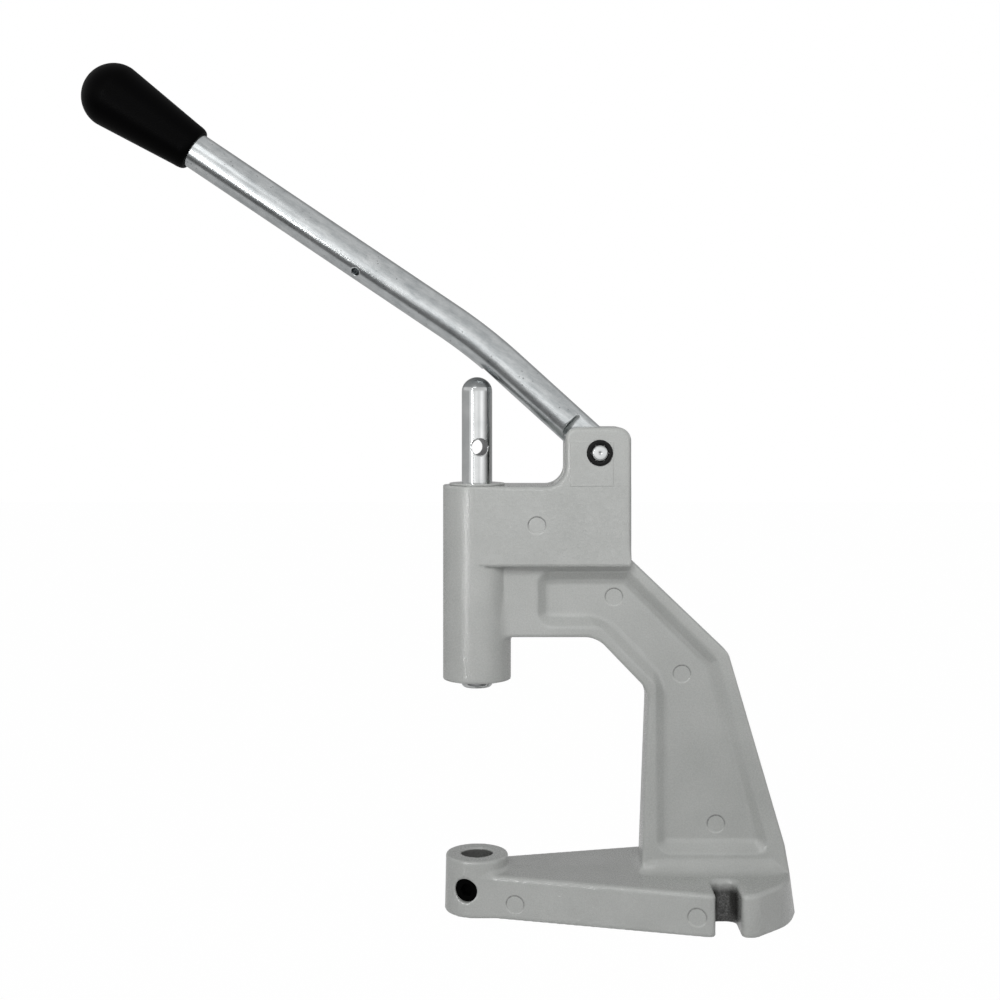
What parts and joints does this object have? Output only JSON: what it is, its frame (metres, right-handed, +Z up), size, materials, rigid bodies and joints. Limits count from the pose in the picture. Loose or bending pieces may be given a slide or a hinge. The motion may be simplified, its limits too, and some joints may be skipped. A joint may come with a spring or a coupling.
{
  "type": "button press",
  "caption": "Bench hand press: cast C-frame, hinged lever with a black grip, spring-returned round ram and a die socket in the base, for setting snaps, eyelets and rivets.",
  "frame": {"origin": "on the bench, straight below the ram's axis, in the middle of the base's width", "axes": "+X runs from the ram towards the column at the rear, +Y points away from the side that the picture shows, +Z is up"},
  "size_m": [0.3737, 0.0888, 0.444],
  "materials": {
    "frame_paint": "grey paint with a fine orange-peel texture on an aluminium die casting",
    "bush_steel": "turned steel",
    "bearing_bronze": "sintered bronze, oiled",
    "ram_steel": "ground bright steel",
    "spring_steel": "drawn spring wire",
    "black_steel": "black oxide steel",
    "zinc_plate": "zinc-plated steel bar, satin, with faint drawn streaks",
    "grip_plastic": "black moulded plastic, satin gloss"
  },
  "bodies": {
    "frame": {"frame_casting": "frame_paint", "top_guide_bush": "bush_steel", "lower_guide_bush": "bearing_bronze", "pivot_pin": "ram_steel", "lock_ring_near": "black_steel", "lock_ring_far": "black_steel", "return_spring": "spring_steel"},
    "lever": {"lever_bar": "zinc_plate", "lever_pivot_sleeve": "bearing_bronze", "lever_grip": "grip_plastic"},
    "ram_carrier": {"thrust_washer": "bush_steel"},
    "ram": {"ram": "ram_steel", "ram_retaining_ring": "black_steel"},
    "clamp_screw": {"die_clamp_screw": "black_steel"}
  },
  "joints": [
    {"name": "lever_hinge", "type": "hinge", "parent": "frame", "child": "lever", "pos_m": [0.0633, 0, 0.2393], "axis": [0, -1, 0], "range_deg": [0, 18.2]},
    {"name": "ram_press", "type": "slide", "parent": "frame", "child": "ram_carrier", "axis": [0, 0, -1], "range_m": [0, 0.0208], "stiffness_N_per_m": 900, "deforming": ["return_spring"]},
    {"name": "ram_turn", "type": "hinge", "parent": "ram_carrier", "child": "ram", "pos_m": [0, 0, 0.2], "axis": [0, 0, 1], "continuous": true},
    {"name": "clamp_screw_travel", "type": "slide", "parent": "frame", "child": "clamp_screw", "axis": [0.3584, 0.9336, 0], "range_m": [0, 0.003]}
  ],
  "couplings": [
    {"joint": "ram_press", "follows": "lever_hinge", "m_per_rad": 0.06532}
  ]
}
